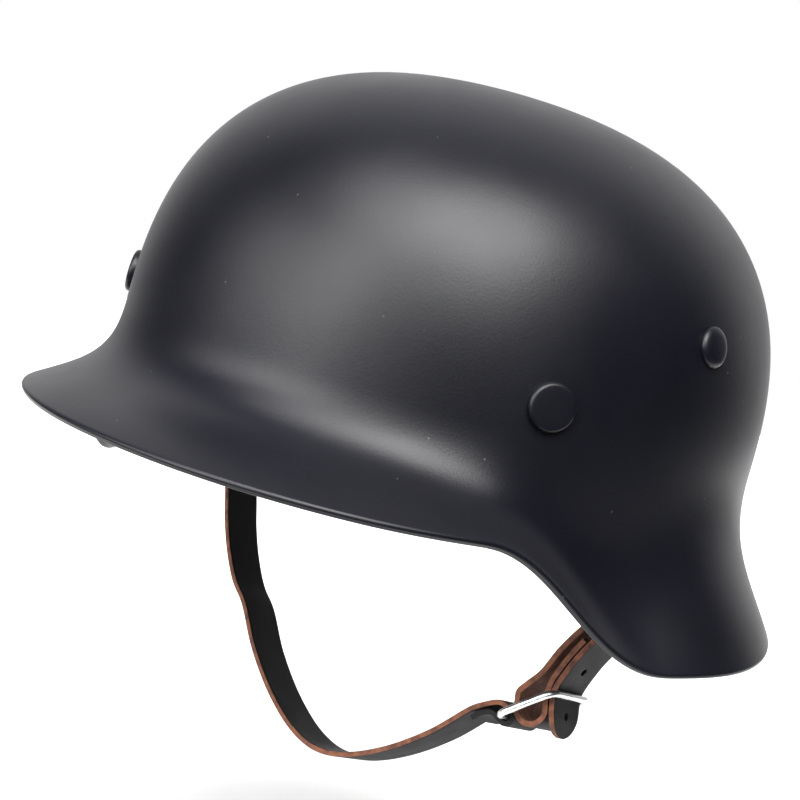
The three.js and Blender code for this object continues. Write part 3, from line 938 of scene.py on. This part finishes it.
def buckleSteel():
    material, shader = newMaterial("bright buckle wire")
    tree = material.node_tree
    shader.inputs["Metallic"].default_value = 1
    clouds = noise(tree, *brightWire["clouds"])
    color = fade(tree, clouds, brightWire["cloudEdges"], brightWire["dark"], brightWire["pale"])
    join(tree, color, "Color", shader, "Base Color")
    low, high = brightWire["roughness"]
    rough = fade(tree, clouds, brightWire["roughEdges"], grey(low), grey(high))
    join(tree, rough, "Color", shader, "Roughness")
    scratches = noise(tree, *brightWire["scratches"])
    bump(tree, shader, [(scratches, "Fac", *brightWire["scratchBump"])])
    return material


makeBuckle(buckleSteel())
print("buckle made")


# Bails: the CAD plates and wires stay, in dull steel

dullSteel = {
    "metallic": 0.8,
    "shades": (0.05, 0.12),
    "roughness": (0.4, 0.6),
    "clouds": (160, 4),
    "cloudEdges": (0.3, 0.7),
    "roughEdges": (0.3, 0.75),
    "scratches": (900, 3),
    "scratchBump": (0.2, 0.0002),
    "smoothAngle": 40,
}


def bailSteel():
    material, shader = newMaterial("dull bail steel")
    tree = material.node_tree
    shader.inputs["Metallic"].default_value = dullSteel["metallic"]
    clouds = noise(tree, *dullSteel["clouds"])
    dark, pale = dullSteel["shades"]
    color = fade(tree, clouds, dullSteel["cloudEdges"], grey(dark), grey(pale))
    join(tree, color, "Color", shader, "Base Color")
    low, high = dullSteel["roughness"]
    rough = fade(tree, clouds, dullSteel["roughEdges"], grey(low), grey(high))
    join(tree, rough, "Color", shader, "Roughness")
    scratches = noise(tree, *dullSteel["scratches"])
    bump(tree, shader, [(scratches, "Fac", *dullSteel["scratchBump"])])
    return material


bailMaterial = bailSteel()
for name in ("strap_bail_left", "strap_bail_right"):
    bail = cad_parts[name]
    bail.data.materials.clear()
    bail.data.materials.append(bailMaterial)
    smoothShade(bail, dullSteel["smoothAngle"])
print("bails dressed")


# Floor, room and softboxes

studio = {
    "floor": -0.33,
    "floorRadius": 1.05,
    "floorBehind": (212, 0.78),
    "floorColor": 0.68,
    "floorRoughness": 0.9,
    "floorSides": 96,
    "backWall": (212, 28),
    "wallEdges": (0.45, 0.8),
    "wallStrength": 0.98,
    "roomStrength": 0.025,
}
# name, azimuth, elevation, spread in degrees, strength
softboxes = (
    ("ceiling left", -18, 55, 30, 1.0),
    ("ceiling middle", 12, 55, 30, 1.1),
    ("ceiling right", 43, 54, 38, 4.2),
    ("ceiling side", 75, 55, 30, 0.85),
    ("window left", -5, 36, 30, 1.15),
    ("window middle", 20, 36, 30, 0.9),
    ("window right", 47, 36, 30, 0.95),
    ("low left", -36, 14, 30, 1.0),
    ("low middle", -12, 14, 30, 2.0),
    ("low right", 12, 14, 30, 0.35),
)


def directionOf(azimuth, elevation):
    azimuth, elevation = math.radians(azimuth), math.radians(elevation)
    return Vector((math.sin(azimuth) * math.cos(elevation), -math.cos(azimuth) * math.cos(elevation),
                   math.sin(elevation)))


def makeFloor():
    azimuth, behind = studio["floorBehind"]
    place = directionOf(azimuth, 0) * behind
    bpy.ops.mesh.primitive_circle_add(vertices=studio["floorSides"], radius=studio["floorRadius"],
                                      fill_type="NGON", location=(place.x, place.y, studio["floor"]))
    floor = fresh("floor")
    settle(floor)
    material, shader = newMaterial("white floor")
    shader.inputs["Base Color"].default_value = (*grey(studio["floorColor"]), 1)
    shader.inputs["Roughness"].default_value = studio["floorRoughness"]
    floor.data.materials.append(material)


def addSoftbox(name, azimuth, elevation, spread, strength):
    data = bpy.data.lights.new(name, "SUN")
    data.angle = math.radians(spread)
    data.energy = strength
    light = bpy.data.objects.new(name, data)
    bpy.context.scene.collection.objects.link(light)
    light.rotation_euler = directionOf(azimuth, elevation).to_track_quat("Z", "Y").to_euler()


def makeWorld():
    # A white wall behind in a dim room; the view itself ends in plain white
    world = bpy.data.worlds.new("pale room")
    world.use_nodes = True
    bpy.context.scene.world = world
    tree = world.node_tree
    place = node(tree, "ShaderNodeTexCoord")
    nearness = node(tree, "ShaderNodeVectorMath", operation="DOT_PRODUCT")
    nearness.inputs[1].default_value = directionOf(*studio["backWall"])
    join(tree, place, "Generated", nearness, "Vector")
    outer, inner = studio["wallEdges"]
    wall = ramp(tree, nearness, "Value", [(outer, grey(studio["roomStrength"])),
                                          (inner, grey(studio["wallStrength"]))])
    ray = node(tree, "ShaderNodeLightPath")
    seen = node(tree, "ShaderNodeMixRGB")
    join(tree, ray, "Is Camera Ray", seen, "Fac")
    join(tree, wall, "Color", seen, "Color1")
    seen.inputs["Color2"].default_value = (1, 1, 1, 1)
    background = tree.nodes["Background"]
    join(tree, seen, "Color", background, "Color")


makeFloor()
makeWorld()
for softbox in softboxes:
    addSoftbox(*softbox)
bpy.context.scene.view_settings.view_transform = "Standard"
print("studio made")
